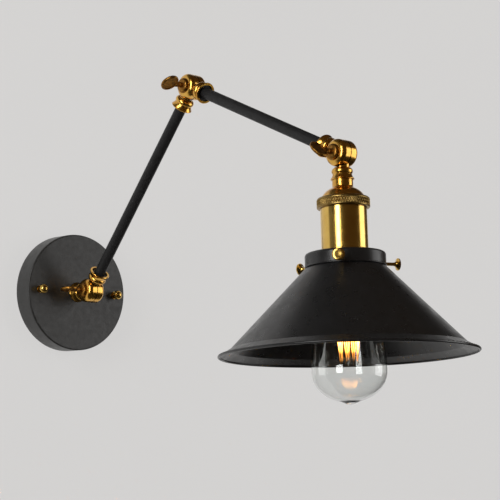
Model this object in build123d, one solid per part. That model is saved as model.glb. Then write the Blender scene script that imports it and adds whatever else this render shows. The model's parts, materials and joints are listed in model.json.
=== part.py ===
from build123d import *
import math
import os

# Two-arm swinging wall lamp: black canopy, arms and cone shade, brass knuckle joints and socket.
# Millimetres. Origin: centre of the canopy's open back, on the wall. The wall is the plane Y = 0,
# the lamp reaches out towards -Y, the joint axes lie along X and +Z is up.

cut_margin = 1.0             # how far a cut runs past the face that it opens
half_turn = 180.0

# ---- canopy and its fixing -------------------------------------------------------------------
canopy_radius = 60.0
canopy_depth = 22.0
canopy_sheet = 1.2
canopy_edge_radius = 1.5
canopy_inner_edge_radius = 0.6
stud_offset = 46.5           # each canopy screw's distance from the canopy's centre
stud_radius = 2.0            # M4
stud_head_radius = 3.6
stud_head_height = 2.4
stud_head_edge = 0.8
stud_bite = 1.0              # stud's tip past the ball's centre
stud_hole_clearance = 0.25

crossbar_width = 18.0
crossbar_sheet = 2.0
crossbar_rise = 4.6          # raised ends leave room for the stud heads on the wall side
crossbar_ramp = 5.0
crossbar_end_margin = 7.0    # strap beyond each stud
crossbar_ramp_gap = 6.5      # flat between stud and ramp
wire_hole_radius = 6.0
slot_spacing = 50.0          # wall screws, slot centre to slot centre
slot_width = 4.6
slot_length = 12.0
earth_screw_radius = 2.0
earth_screw_offset = 12.5
earth_head_radius = 3.8
earth_head_height = 2.0
earth_head_edge = 0.9

ball_radius = 4.75
ball_standoff = 6.6          # ball centre above the canopy's face
ball_stem_radius = 2.9
ball_foot_radius = 3.8
ball_foot_height = 1.2
ball_hole_clearance = 0.5    # beyond the stud's tip

# ---- knuckle joints --------------------------------------------------------------------------
knuckle_radius = 12.0
knuckle_half_width = 10.0    # seam plane to outer face
knuckle_edge_radius = 4.8
friction_washer_thickness = 0.8
friction_washer_margin = 0.9
face_clearance = 0.05        # between flat faces that slide on each other
chamber_inner_radius = 4.4   # wire chamber round the clamping screw
chamber_outer_radius = 8.2
chamber_depth = 4.8
neck_radius = 6.6
neck_clearance = 0.7         # neck to the other half's rim
bead_start = 12.9
bead_end = 18.3
bead_radius = 9.2
bead_end_radius = 8.3
ring_end = 23.5
ring_radius = 10.3
ring_waist_radius = 9.0
ring_waist_height = 2.2
ring_lip_height = 0.8
ring_lip_radius = 9.8
ring_mouth_radius = 8.2
ring_floor = 2.2
thread_radius = 5.0          # M10 x 1
thread_clearance = 0.05
thread_start = 13.6
wire_bore_radius = 3.4
wire_bore_start = 6.2

screw_radius = 2.5           # M5 clamping screw, also the hinge pin
pin_clearance = 0.07
screw_reach = 7.0            # into the threaded half
screw_end_clearance = 0.5
flange_radius = 7.0
flange_rim = 0.9
flange_height = 3.4
screw_neck_radius = 2.6
paddle_start = 15.6
paddle_centre = 27.0
paddle_half_length = 8.1     # along the screw
paddle_half_width = 9.6
paddle_root_width = 5.2
paddle_shoulder_width = 9.0
paddle_thickness = 3.0
paddle_edge_radius = 1.2
paddle_rim = 2.0             # raised rim round the blade's hollowed faces
paddle_hollow = 0.5
wall_paddle_turn = -4.0      # angle of each paddle's width, from the wall's side upwards
elbow_paddle_turn = 150.0
head_paddle_turn = 47.0

# ---- arms ------------------------------------------------------------------------------------
lower_arm_length = 245.0     # pivot to pivot
upper_arm_length = 225.0
tube_radius = 5.4
tube_bore_radius = 4.0
tube_shoulder_radius = 7.9   # black shoulder that sits in each ring's mouth
tube_shoulder_height = 1.5
lower_arm_elevation = 49.6   # above the horizontal, as photographed
upper_arm_elevation = -24.2
head_elevation = -86.8       # the head hangs 3.2 degrees out of plumb

# ---- head: socket ----------------------------------------------------------------------------
cap_neck_radius = 9.0
cap_neck_length = 5.1
cap_throat_radius = 2.6      # outside of the curve from neck to bell
cap_throat_turn = 68.0
cap_bell_radius = 18.9
cap_bell_height = 39.2
cap_wall = 1.2
cap_roof = 2.0
cap_skirt_radius = 19.1
coupling_clearance = 0.08
knurl_radius = 22.85
knurl_top_radius = 2.2
knurl_height = 8.9
knurl_lip = 2.4
knurl_foot_chamfer = 0.5
shell_wall = 0.9
shell_end = 87.0
shell_foot_height = 2.8       # rolled foot
shell_foot_step = 0.35
shell_foot_edge = 0.3
insert_radius = 17.0
insert_top = 52.0
insert_end = 100.0
insert_edge_radius = 1.0
terminal_hole_radius = 1.6
terminal_hole_offset = 8.5
contact_shell_wall = 0.5
contact_shell_recess = 2.0   # below the insert's mouth
contact_plate_length = 20.0
contact_plate_width = 6.0
contact_plate_thickness = 1.6
holder_plate_thickness = 1.4
holder_plate_hole_radius = 4.95
nipple_bore_radius = 3.4
nut_across_flats = 12.6
nut_height = 3.6
wall_nut_across_flats = 14.0
wall_nut_height = 4.0
wall_washer_radius = 9.5
wall_washer_thickness = 1.4
nipple_overrun = 3.0

# ---- head: fitter, shade and their screws ----------------------------------------------------
fitter_radius = 34.6
fitter_height = 12.1
fitter_wall = 1.2
fitter_edge_radius = 2.6
fitter_bead = 0.45
fitter_bead_height = 1.4
fitter_hole_clearance = 0.3
shade_ring_radius = 21.0
shade_ring_height = 4.0
fitter_screw_drop = 8.2      # screw axis below the fitter's top
fitter_screw_radius = 1.5    # M3
fitter_screw_clearance = 0.05
fitter_screw_boss_radius = 2.9
fitter_screw_boss_height = 1.4
fitter_screw_head_radius = 5.3
fitter_screw_face = 49.4     # head's face from the lamp's axis
fitter_screw_rim = 0.9
fitter_screw_flare = 4.4
fitter_screw_crown = 0.5
fitter_screw_first = 141.6   # angle of the first screw, from X towards the lamp's front
fitter_screw_count = 3

shade_sheet = 0.9
shade_neck_radius = 31.0
shade_neck_lip = 0.9
shade_neck_gap = 0.5         # fitter's foot to the shade's shoulder
shade_shoulder_radius = 34.4
shade_crease_radius = 100.0
shade_crease_height = 167.0
shade_rim_radius = 109.3
shade_rim_height = 172.4
shade_bead_radius = 1.3
shade_bead_drop = 0.5        # the rolled edge's centre below the rim

# ---- bulb ------------------------------------------------------------------------------------
contact_height = 73.95       # top of the socket's centre contact
bulb_seat_clearance = 0.05
bulb_button_radius = 4.6
bulb_button_height = 1.0
bulb_insulator_radius = 10.5
bulb_insulator_height = 3.2
bulb_cap_radius = 13.1       # E27
bulb_cap_length = 22.0
bulb_cap_edge_radius = 2.0
bulb_cap_clearance = 0.1
bulb_cap_sheet = 0.6
bulb_glass_seat = 1.5        # glass inside the cap
bulb_neck_radius = 14.6
bulb_throat_length = 7.8     # cap to the start of the body
bulb_radius = 32.0
bulb_body_length = 80.0      # throat to the widest place
bulb_dome_height = 25.6
bulb_fullness = 1.15         # makes the dome nearly elliptical
bulb_nub_radius = 6.5
bulb_nub_height = 2.2
bulb_glass = 0.9
stem_radius = 4.2
stem_foot_radius = 9.5
stem_foot_height = 2.0
stem_flare_height = 12.0
stem_pinch = 2.0             # end of the stem down to its rod
stem_margin = 3.0            # stem and rod past the hooks that they carry
stem_rod_radius = 1.3
cage_hooks = 9               # hooks in each of the cage's two rows
cage_top_radius = 11.5
cage_bottom_radius = 7.6
cage_top = 132.0
cage_length = 44.5
cage_wire_radius = 0.25
hook_radius = 0.2

NIPPLE_RADIUS = thread_radius - thread_clearance
SEAM_HALF = friction_washer_thickness / 2
PIVOT_STANDOFF = canopy_depth + ring_end
RING_SEAT = bead_end + ring_floor
KNURL_TOP = cap_bell_height
KNURL_END = KNURL_TOP + knurl_height
SHELL_INNER = cap_skirt_radius + coupling_clearance
SHELL_OUTER = SHELL_INNER + shell_wall
SHELL_TOP = KNURL_TOP + knurl_lip
FITTER_END = shell_end + fitter_height
FITTER_INNER = fitter_radius - fitter_wall
CONTACT_INNER = bulb_cap_radius + bulb_cap_clearance
BULB_BASE = contact_height + bulb_seat_clearance
BULB_CAP_START = BULB_BASE + bulb_button_height + bulb_insulator_height
BULB_CAP_END = BULB_CAP_START + bulb_cap_length
SHOULDER_HEIGHT = FITTER_END + shade_neck_gap
INSERT_STEP = shell_end - shell_wall
CAP_NECK_END = ring_end + cap_neck_length
BULB_THROAT = BULB_CAP_END + bulb_throat_length
BULB_BELLY = BULB_THROAT + bulb_body_length
BULB_TIP = BULB_BELLY + bulb_dome_height
CAGE_BOTTOM = cage_top + cage_length


# ---- places ----------------------------------------------------------------------------------
def direction(elevation):
    """Unit vector in the swing plane, out from the wall and up by the elevation in degrees."""
    angle = math.radians(elevation)
    return Vector(0, -math.cos(angle), math.sin(angle))


WALL_PIVOT = Vector(0, -PIVOT_STANDOFF, 0)
ELBOW_PIVOT = WALL_PIVOT + direction(lower_arm_elevation) * lower_arm_length
HEAD_PIVOT = ELBOW_PIVOT + direction(upper_arm_elevation) * upper_arm_length


def along(pivot, elevation):
    """Frame at a pivot whose Z points along the elevation and whose X is the joint axis."""
    return Pos(pivot.X, pivot.Y, pivot.Z) * Rot(90 - elevation, 0, 0)


def screw_frame(pivot, turn):
    """Frame at a pivot whose Z points out of the joint's left face, turned about that axis."""
    return Pos(pivot.X, pivot.Y, pivot.Z) * Rot(0, -90, 0) * Rot(0, 0, -turn)


OUT_OF_WALL = along(Vector(0, 0, 0), 0)
INTO_WALL = along(WALL_PIVOT, half_turn)
LOWER = along(WALL_PIVOT, lower_arm_elevation)
LOWER_BACK = along(ELBOW_PIVOT, lower_arm_elevation + half_turn)
UPPER = along(ELBOW_PIVOT, upper_arm_elevation)
UPPER_BACK = along(HEAD_PIVOT, upper_arm_elevation + half_turn)
HEAD = along(HEAD_PIVOT, head_elevation)


# ---- shared shapes ---------------------------------------------------------------------------
def turned(*curves):
    """Solid of revolution about Z from a closed chain of (radius, height) curves."""
    outline = Curve() + list(curves)
    return revolve(make_face(Plane.XZ * outline), Axis.Z)


def tube_between(bottom, top, outer, inner=0.0):
    """Upright cylinder or sleeve from one height to another."""
    body = Pos(0, 0, bottom) * Cylinder(outer, top - bottom, align=(Align.CENTER, Align.CENTER, Align.MIN))
    if inner:
        height = top - bottom + 2 * cut_margin
        hole = Cylinder(inner, height, align=(Align.CENTER, Align.CENTER, Align.MIN))
        body -= Pos(0, 0, bottom - cut_margin) * hole
    return body


def hex_nut(bottom, across_flats, height, hole):
    """Hexagon nut with a plain hole in place of its thread."""
    blank = extrude(RegularPolygon(across_flats / math.sqrt(3), 6), height)
    return Pos(0, 0, bottom) * (blank - tube_between(-cut_margin, height + cut_margin, hole))


def cross_cylinder(radius, start, end):
    """Cylinder along X between two X positions."""
    body = Cylinder(radius, end - start, align=(Align.CENTER, Align.CENTER, Align.MIN))
    return Pos(start, 0, 0) * Rot(0, 90, 0) * body


# ---- canopy ----------------------------------------------------------------------------------
def make_canopy():
    """Open-backed round box with a soft front edge, a nipple hole and two stud holes."""
    cup = tube_between(0, canopy_depth, canopy_radius)
    cup = fillet(cup.edges().sort_by(Axis.Z)[-1], canopy_edge_radius)
    hollow = tube_between(-cut_margin, canopy_depth - canopy_sheet, canopy_radius - canopy_sheet)
    hollow = fillet(hollow.edges().sort_by(Axis.Z)[-1], canopy_inner_edge_radius)
    cup -= hollow
    cup -= tube_between(0, canopy_depth + cut_margin, thread_radius + thread_clearance)
    for side in (-1, 1):
        hole = tube_between(0, canopy_depth + cut_margin, stud_radius + stud_hole_clearance)
        cup -= Pos(side * stud_offset, 0, 0) * hole
    return OUT_OF_WALL * cup


def make_crossbar():
    """Joggled steel strap that screws to the wall and carries the canopy studs."""
    reach = stud_offset + crossbar_end_margin
    ramp_top = stud_offset - crossbar_ramp_gap
    ramp_foot = ramp_top - crossbar_ramp
    lower_edge = [
        (-reach, crossbar_rise), (-ramp_top, crossbar_rise), (-ramp_foot, 0),
        (ramp_foot, 0), (ramp_top, crossbar_rise), (reach, crossbar_rise),
    ]
    upper_edge = [(x, z + crossbar_sheet) for x, z in reversed(lower_edge)]
    section = make_face(Plane.XZ * Polyline(*lower_edge, *upper_edge, close=True))
    strap = extrude(section, crossbar_width / 2, both=True)
    outline = SlotOverall(2 * reach, crossbar_width)
    strap &= extrude(outline, 2 * (crossbar_rise + crossbar_sheet), both=True)
    top = crossbar_sheet + cut_margin
    strap -= tube_between(-cut_margin, top, wire_hole_radius)
    for side in (-1, 1):
        slot = extrude(SlotOverall(slot_length, slot_width), top + cut_margin)
        strap -= Pos(side * slot_spacing / 2, 0, -cut_margin) * slot
        tapped = tube_between(0, crossbar_rise + top, stud_radius + thread_clearance)
        strap -= Pos(side * stud_offset, 0, 0) * tapped
    earth = tube_between(-cut_margin, top, earth_screw_radius + thread_clearance)
    strap -= Pos(earth_screw_offset, 0, 0) * earth
    return OUT_OF_WALL * strap


def make_studs():
    """Two screws driven out through the strap's raised ends, one solid each."""
    head_start = crossbar_rise - stud_head_height
    tip = canopy_depth + ball_standoff + stud_bite
    stud = tube_between(head_start, crossbar_rise, stud_head_radius)
    stud = fillet(stud.edges().sort_by(Axis.Z)[0], stud_head_edge)
    stud += tube_between(head_start, tip, stud_radius)
    return [OUT_OF_WALL * Pos(side * stud_offset, 0, 0) * stud for side in (-1, 1)]


def make_ball_nuts():
    """Two turned ball nuts that clamp the canopy's face, one solid each."""
    stem_top = ball_standoff - math.sqrt(ball_radius ** 2 - ball_stem_radius ** 2)
    stem = Polyline((0, 0), (ball_foot_radius, 0), (ball_foot_radius, ball_foot_height),
                    (ball_stem_radius, ball_foot_height), (ball_stem_radius, stem_top))
    crown = ThreePointArc((ball_stem_radius, stem_top), (ball_radius, ball_standoff),
                          (0, ball_standoff + ball_radius))
    axis = Line((0, ball_standoff + ball_radius), (0, 0))
    nut = turned(stem, crown, axis)
    hole_end = ball_standoff + stud_bite + ball_hole_clearance
    nut -= tube_between(-cut_margin, hole_end, stud_radius + thread_clearance)
    return [OUT_OF_WALL * Pos(side * stud_offset, 0, canopy_depth) * nut for side in (-1, 1)]


def make_earth_screw():
    """Round-head earthing screw in the strap."""
    screw = tube_between(crossbar_sheet, crossbar_sheet + earth_head_height, earth_head_radius)
    screw = fillet(screw.edges().sort_by(Axis.Z)[-1], earth_head_edge)
    screw += tube_between(0, crossbar_sheet + earth_head_height / 2, earth_screw_radius)
    return OUT_OF_WALL * Pos(earth_screw_offset, 0, 0) * screw


# ---- knuckle joints --------------------------------------------------------------------------
def make_knuckle(side, threaded):
    """One half of a knuckle: half barrel, neck and bead, hollow for the wires.

    side is -1 for the half the screw enters and 1 for the half it is threaded into.
    """
    inner_face = side * (SEAM_HALF if threaded else SEAM_HALF + face_clearance)
    outer_face = side * knuckle_half_width
    faces = sorted((inner_face, outer_face))
    barrel = cross_cylinder(knuckle_radius, *faces)
    rim = barrel.edges().filter_by(GeomType.CIRCLE).sort_by(Axis.X)[-1 if side > 0 else 0]
    barrel = fillet(rim, knuckle_edge_radius)

    neck = tube_between(0, bead_start, neck_radius)
    beyond = sorted((inner_face, -side * 2 * knuckle_half_width))
    neck -= cross_cylinder(knuckle_radius + neck_clearance, *beyond)
    bead = turned(
        Polyline((0, bead_start), (neck_radius, bead_start)),
        ThreePointArc((neck_radius, bead_start), (bead_radius, (bead_start + bead_end) / 2),
                      (bead_end_radius, bead_end)),
        Polyline((bead_end_radius, bead_end), (0, bead_end), (0, bead_start)),
    )
    half = barrel + neck + bead

    chamber_start = inner_face - side * cut_margin
    chamber_end = inner_face + side * chamber_depth
    post = sorted((chamber_start - side * cut_margin, chamber_end + side * cut_margin))
    chamber = cross_cylinder(chamber_outer_radius, *sorted((chamber_start, chamber_end)))
    half -= chamber - cross_cylinder(chamber_inner_radius, *post)
    half -= tube_between(wire_bore_start, bead_end + cut_margin, wire_bore_radius)
    half -= tube_between(thread_start, bead_end + cut_margin, thread_radius)

    reach = side * (screw_reach + screw_end_clearance) if threaded else outer_face + side * cut_margin
    return half - cross_cylinder(screw_radius + pin_clearance, *sorted((chamber_start, reach)))


def make_collar_ring():
    """Flared check ring that closes a knuckle's bead and hides the thread behind its mouth."""
    lip_start = (ring_radius, ring_end - ring_lip_height)
    flank = Spline((bead_end_radius, bead_end), (ring_waist_radius, bead_end + ring_waist_height), lip_start)
    lip = TangentArc(lip_start, (ring_lip_radius, ring_end), tangent=(0, 1))
    mouth = Polyline(
        (ring_lip_radius, ring_end), (ring_mouth_radius, ring_end), (ring_mouth_radius, RING_SEAT),
        (thread_radius, RING_SEAT), (thread_radius, bead_end), (bead_end_radius, bead_end),
    )
    return turned(flank, lip, mouth)


def make_friction_washer():
    """Thin fibre washer in the seam, carried by the threaded half."""
    outer = knuckle_radius - friction_washer_margin
    washer = cross_cylinder(outer, -SEAM_HALF, SEAM_HALF)
    return washer - cross_cylinder(screw_radius + pin_clearance, -cut_margin, cut_margin)


def make_clamp_screw():
    """Paddle-headed screw that clamps a knuckle and serves as its hinge pin."""
    seat = knuckle_half_width + face_clearance
    rim_top = (flange_radius, seat + flange_rim)
    dome_top = (screw_neck_radius, seat + flange_height)
    neck_end = paddle_start + paddle_edge_radius
    stem = turned(
        Polyline((0, -screw_reach), (screw_radius, -screw_reach), (screw_radius, seat),
                 (flange_radius, seat), rim_top),
        Spline(rim_top, dome_top, tangents=((0, 1), (-1, 0))),
        Polyline(dome_top, (screw_neck_radius, neck_end), (0, neck_end), (0, -screw_reach)),
    )
    oval = Pos(paddle_centre, 0) * Ellipse(paddle_half_length, paddle_half_width)
    root = Polygon((paddle_start, -paddle_root_width / 2), (paddle_centre, -paddle_shoulder_width / 2),
                   (paddle_centre, paddle_shoulder_width / 2), (paddle_start, paddle_root_width / 2),
                   align=None)
    blade = extrude(oval + root, paddle_thickness / 2, both=True)
    blade = fillet(blade.edges().filter_by(Plane.XY), paddle_edge_radius)
    dish = Ellipse(paddle_half_length - paddle_rim, paddle_half_width - paddle_rim)
    face = paddle_thickness / 2 - paddle_hollow
    for side in (-1, 1):
        blade -= Pos(paddle_centre, 0, side * face) * extrude(dish, side * (paddle_hollow + cut_margin))
    return stem + Rot(0, -90, 0) * blade


def make_arm_tube(length):
    """Arm tube with turned-down M10 ends in the knuckles and a shoulder in each ring's mouth."""
    tube = tube_between(RING_SEAT, length - RING_SEAT, tube_radius)
    for start in (RING_SEAT, length - RING_SEAT - tube_shoulder_height):
        tube += tube_between(start, start + tube_shoulder_height, tube_shoulder_radius)
    tube += tube_between(thread_start, length - thread_start, NIPPLE_RADIUS)
    return tube - tube_between(0, length, tube_bore_radius)


def make_nipple(end):
    """Hollow M10 nipple from the bottom of a knuckle's thread to the given height."""
    return tube_between(thread_start, end, NIPPLE_RADIUS, nipple_bore_radius)


# ---- wall fixing of the first knuckle --------------------------------------------------------
def make_wall_washer():
    """Plain washer behind the canopy's face."""
    start = ring_end + canopy_sheet
    return tube_between(start, start + wall_washer_thickness, wall_washer_radius, thread_radius)


def make_wall_nut():
    """Lock nut that pulls the wall knuckle against the canopy."""
    start = ring_end + canopy_sheet + wall_washer_thickness
    return hex_nut(start, wall_nut_across_flats, wall_nut_height, thread_radius)


# ---- socket ----------------------------------------------------------------------------------
def cap_flare(inset, end):
    """Throat and bell of the socket cap, moved inwards by the inset, as a chain of curves to the end."""
    throat = JernArc(start=(cap_neck_radius - inset, CAP_NECK_END), tangent=(0, 1),
                     radius=cap_throat_radius + inset, arc_size=-cap_throat_turn)
    return [throat, TangentArc(throat @ 1, end, tangent=throat % 1)]


def make_socket_cap():
    """Bell-shaped cap: short neck, ogee flare and a plain skirt under the knurled ring."""
    foot = insert_top - holder_plate_thickness
    roof = ring_end + cap_roof
    neck_inner = cap_neck_radius - cap_wall
    skirt_inner = cap_skirt_radius - cap_wall
    bell_end = (cap_bell_radius, cap_bell_height)
    bell_inner_end = (skirt_inner, cap_bell_height + cap_wall / 2)
    return turned(
        Polyline((thread_radius, ring_end), (cap_neck_radius, ring_end), (cap_neck_radius, CAP_NECK_END)),
        *cap_flare(0, bell_end),
        Polyline(bell_end, (cap_skirt_radius, cap_bell_height), (cap_skirt_radius, foot),
                 (skirt_inner, foot), bell_inner_end),
        *cap_flare(cap_wall, bell_inner_end),
        Polyline((neck_inner, CAP_NECK_END), (neck_inner, roof), (thread_radius, roof),
                 (thread_radius, ring_end)),
    )


def make_cap_nut():
    """Thin lock nut under the cap's roof."""
    return hex_nut(ring_end + cap_roof, nut_across_flats, nut_height, thread_radius)


def make_knurled_ring():
    """Coupling ring that draws the socket shell onto the cap; its band is knurled."""
    ring = tube_between(KNURL_TOP, KNURL_END, knurl_radius)
    edges = ring.edges().filter_by(GeomType.CIRCLE).sort_by(Axis.Z)
    ring = fillet(edges[0], knurl_top_radius)
    foot = ring.edges().filter_by(GeomType.CIRCLE).sort_by(Axis.Z)[-1]
    ring = chamfer(foot, knurl_foot_chamfer)
    gap = coupling_clearance / 2
    ring -= tube_between(KNURL_TOP - cut_margin, KNURL_END + cut_margin, cap_skirt_radius + gap)
    return ring - tube_between(SHELL_TOP, KNURL_END + cut_margin, SHELL_OUTER + gap)


def make_socket_shell():
    """Plain brass sleeve with a rolled foot and an inward lip under the insert's shoulder."""
    foot = tube_between(shell_end - shell_foot_height, shell_end, SHELL_OUTER + shell_foot_step)
    foot = fillet(foot.edges().filter_by(GeomType.CIRCLE), shell_foot_edge)
    shell = tube_between(SHELL_TOP, shell_end, SHELL_OUTER) + foot
    shell -= tube_between(SHELL_TOP - cut_margin, INSERT_STEP, SHELL_INNER)
    return shell - tube_between(INSERT_STEP - cut_margin, shell_end + cut_margin,
                                insert_radius + fitter_hole_clearance)


def make_holder_plate():
    """Steel plate with a wire hole that the cap's skirt presses on the insert."""
    return tube_between(insert_top - holder_plate_thickness, insert_top, cap_skirt_radius,
                        holder_plate_hole_radius)


def make_insert():
    """Porcelain insert: wide shoulder inside the shell, narrower nose through the fitter."""
    body = tube_between(insert_top, INSERT_STEP, cap_skirt_radius)
    body += tube_between(insert_top, insert_end, insert_radius)
    nose = body.edges().filter_by(GeomType.CIRCLE).sort_by(Axis.Z)[-1]
    body = fillet(nose, insert_edge_radius)
    floor = contact_height - contact_plate_thickness
    body -= tube_between(floor, insert_end + cut_margin, CONTACT_INNER + contact_shell_wall)
    for side in (-1, 1):
        hole = tube_between(insert_top - cut_margin, floor + cut_margin, terminal_hole_radius)
        body -= Pos(side * terminal_hole_offset, 0, 0) * hole
    return body


def make_contact_shell():
    """Thin brass screw shell lining the insert."""
    start = contact_height + bulb_button_height
    outer = CONTACT_INNER + contact_shell_wall
    return tube_between(start, insert_end - contact_shell_recess, outer, CONTACT_INNER)


def make_contact_plate():
    """Centre contact, a brass tongue across the insert's floor."""
    floor = contact_height - contact_plate_thickness
    tongue = SlotOverall(contact_plate_length, contact_plate_width)
    return Pos(0, 0, floor) * extrude(tongue, contact_plate_thickness)


# ---- fitter and shade ------------------------------------------------------------------------
def make_fitter():
    """Shade holder: shallow cup with a rolled foot, three screw bosses inside its skirt."""
    cup = tube_between(shell_end, FITTER_END, fitter_radius)
    crown = cup.edges().filter_by(GeomType.CIRCLE).sort_by(Axis.Z)[0]
    cup = fillet(crown, fitter_edge_radius)
    cup += Pos(0, 0, FITTER_END - fitter_bead_height / 2) * fitter_foot_bead()
    hollow = tube_between(shell_end + fitter_wall, FITTER_END + cut_margin, FITTER_INNER)
    inner_crown = hollow.edges().filter_by(GeomType.CIRCLE).sort_by(Axis.Z)[0]
    cup -= fillet(inner_crown, fitter_edge_radius - fitter_wall)
    cup -= tube_between(shell_end - cut_margin, FITTER_END, insert_radius + fitter_hole_clearance)
    boss_start = FITTER_INNER - fitter_screw_boss_height
    hole_end = fitter_radius + fitter_bead + cut_margin
    boss = tube_between(boss_start, fitter_radius - fitter_wall / 2, fitter_screw_boss_radius)
    hole = tube_between(boss_start - cut_margin, hole_end, fitter_screw_radius + fitter_screw_clearance)
    for screw_place in fitter_screw_places():
        cup += screw_place * boss
        cup -= screw_place * hole
    return cup


def fitter_foot_bead():
    """Half-round bead round the fitter's foot, centred on height zero."""
    half = fitter_bead_height / 2
    inner = fitter_radius - fitter_wall / 2
    return turned(
        Polyline((fitter_radius, half), (inner, half), (inner, -half), (fitter_radius, -half)),
        ThreePointArc((fitter_radius, -half), (fitter_radius + fitter_bead, 0), (fitter_radius, half)),
    )


def fitter_screw_places():
    """Frames in the head whose Z points outwards along each shade screw."""
    height = shell_end + fitter_screw_drop
    step = 360.0 / fitter_screw_count
    angles = [fitter_screw_first - index * step for index in range(fitter_screw_count)]
    return [Pos(0, 0, height) * Rot(0, 0, angle) * Rot(0, 90, 0) for angle in angles]


def make_shade_ring():
    """Threaded ring on the insert's nose that clamps the fitter to the socket."""
    start = shell_end + fitter_wall
    return tube_between(start, start + shade_ring_height, shade_ring_radius, insert_radius + thread_clearance)


def make_fitter_screw():
    """Shade screw with a trumpet head, its point on the shade's neck."""
    shank = fitter_screw_radius
    point = shade_neck_radius + face_clearance
    rim_start = fitter_screw_face - fitter_screw_rim
    flare_start = rim_start - fitter_screw_flare
    crown = fitter_screw_face + fitter_screw_crown
    return turned(
        Polyline((0, point), (shank, point), (shank, flare_start)),
        Spline((shank, flare_start), (fitter_screw_head_radius, rim_start), tangents=((0, 1), (1, 0.3))),
        Line((fitter_screw_head_radius, rim_start), (fitter_screw_head_radius, fitter_screw_face)),
        Spline((fitter_screw_head_radius, fitter_screw_face), (0, crown), tangents=((-0.7, 0.7), (-1, 0))),
        Line((0, crown), (0, point)),
    )


def make_shade():
    """Spun cone: lipped neck, shoulder, cone, flatter brim and a rolled edge."""
    lip_height = shell_end + fitter_wall + shade_sheet
    outside = Polyline(
        (shade_neck_radius + shade_neck_lip, lip_height), (shade_neck_radius, lip_height),
        (shade_neck_radius, SHOULDER_HEIGHT), (shade_shoulder_radius, SHOULDER_HEIGHT),
        (shade_crease_radius, shade_crease_height), (shade_rim_radius, shade_rim_height),
    )
    wall = make_face(offset(outside, amount=shade_sheet, side=Side.LEFT, kind=Kind.INTERSECTION))
    shell = revolve(Plane.XZ * wall, Axis.Z)
    bead_place = Pos(0, 0, shade_rim_height + shade_bead_drop)
    return shell + bead_place * Torus(shade_rim_radius, shade_bead_radius)


# ---- bulb ------------------------------------------------------------------------------------
def bulb_body(inset):
    """Solid of the bulb's outline from inside its cap to its tip, moved inwards by the inset."""
    neck = bulb_cap_radius - bulb_cap_sheet - inset
    start = BULB_CAP_END - bulb_glass_seat
    belly = (bulb_radius - inset, BULB_BELLY)
    tip = (0, BULB_TIP - inset)
    return turned(
        Polyline((0, start), (neck, start), (neck, BULB_CAP_END)),
        Spline((neck, BULB_CAP_END), (bulb_neck_radius - inset, BULB_THROAT), belly,
               tangents=((0, 1), (0, 1))),
        Spline(belly, tip, tangents=((0, 1), (-1, 0)), tangent_scalars=(bulb_fullness, bulb_fullness)),
        Line(tip, (0, start)),
    )


def make_bulb_glass():
    """Thin glass envelope, open inside the cap, with a small nub at its tip."""
    tip = (0, BULB_TIP + bulb_nub_height)
    root = BULB_TIP - bulb_glass / 2
    nub = turned(Line((0, root), (bulb_nub_radius, root)),
                 Spline((bulb_nub_radius, root), tip, tangents=((-1, 1), (-1, 0))),
                 Line(tip, (0, root)))
    return bulb_body(0) + nub - bulb_body(bulb_glass)


def make_bulb_cap():
    """E27 cap as a plain cup round the bulb's neck."""
    cup = tube_between(BULB_CAP_START, BULB_CAP_END, bulb_cap_radius)
    crown = cup.edges().filter_by(GeomType.CIRCLE).sort_by(Axis.Z)[0]
    cup = fillet(crown, bulb_cap_edge_radius)
    inner = bulb_cap_radius - bulb_cap_sheet
    return cup - tube_between(BULB_CAP_START + bulb_cap_sheet, BULB_CAP_END + cut_margin, inner)


def make_bulb_base():
    """Dark glass insulator between the cap and its centre button."""
    top = BULB_BASE + bulb_button_height
    return turned(Polyline((0, top), (bulb_button_radius, top), (bulb_insulator_radius, BULB_CAP_START),
                           (0, BULB_CAP_START), close=True))


def make_bulb_button():
    """Centre button of the bulb's cap."""
    return tube_between(BULB_BASE, BULB_BASE + bulb_button_height, bulb_button_radius)


def make_bulb_stem():
    """Glass foot, pinch and rod that hold the filament's cage."""
    start = BULB_CAP_START + bulb_cap_sheet
    foot_end = (stem_foot_radius, start + stem_foot_height)
    flare_end = (stem_radius, start + stem_foot_height + stem_flare_height)
    stem_end = cage_top + stem_margin
    rod_end = CAGE_BOTTOM + stem_margin
    return turned(
        Polyline((0, start), (stem_foot_radius, start), foot_end),
        Spline(foot_end, flare_end, tangents=((0, 1), (0, 1))),
        Polyline(flare_end, (stem_radius, stem_end), (stem_rod_radius, stem_end + stem_pinch),
                 (stem_rod_radius, rod_end), (0, rod_end), (0, start)),
    )


def cage_corner(index):
    """One bend of the filament, alternately in the upper and the lower row of hooks."""
    angle = math.pi * index / cage_hooks
    lower = index % 2 == 1
    radius = cage_bottom_radius if lower else cage_top_radius
    height = CAGE_BOTTOM if lower else cage_top
    return Vector(radius * math.cos(angle), radius * math.sin(angle), height)


def make_filament():
    """Squirrel-cage filament: one wire zigzagging between the two rows of hooks."""
    path = Polyline(*[cage_corner(index) for index in range(2 * cage_hooks)])
    section = Plane(origin=path @ 0, z_dir=path % 0) * RegularPolygon(cage_wire_radius, 6)
    return sweep(section, path=path, transition=Transition.RIGHT)


def make_filament_hooks():
    """Fine wires from the stem and its rod to every bend of the filament, one solid each."""
    hooks = []
    for index in range(2 * cage_hooks):
        corner = cage_corner(index)
        root = stem_rod_radius if index % 2 == 1 else stem_radius
        outwards = Vector(corner.X, corner.Y, 0).normalized()
        start = outwards * root + Vector(0, 0, corner.Z)
        reach = (corner - start).length - cage_wire_radius
        hooks.append(extrude(Plane(origin=start, z_dir=outwards) * RegularPolygon(hook_radius, 6), reach))
    return hooks


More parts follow.
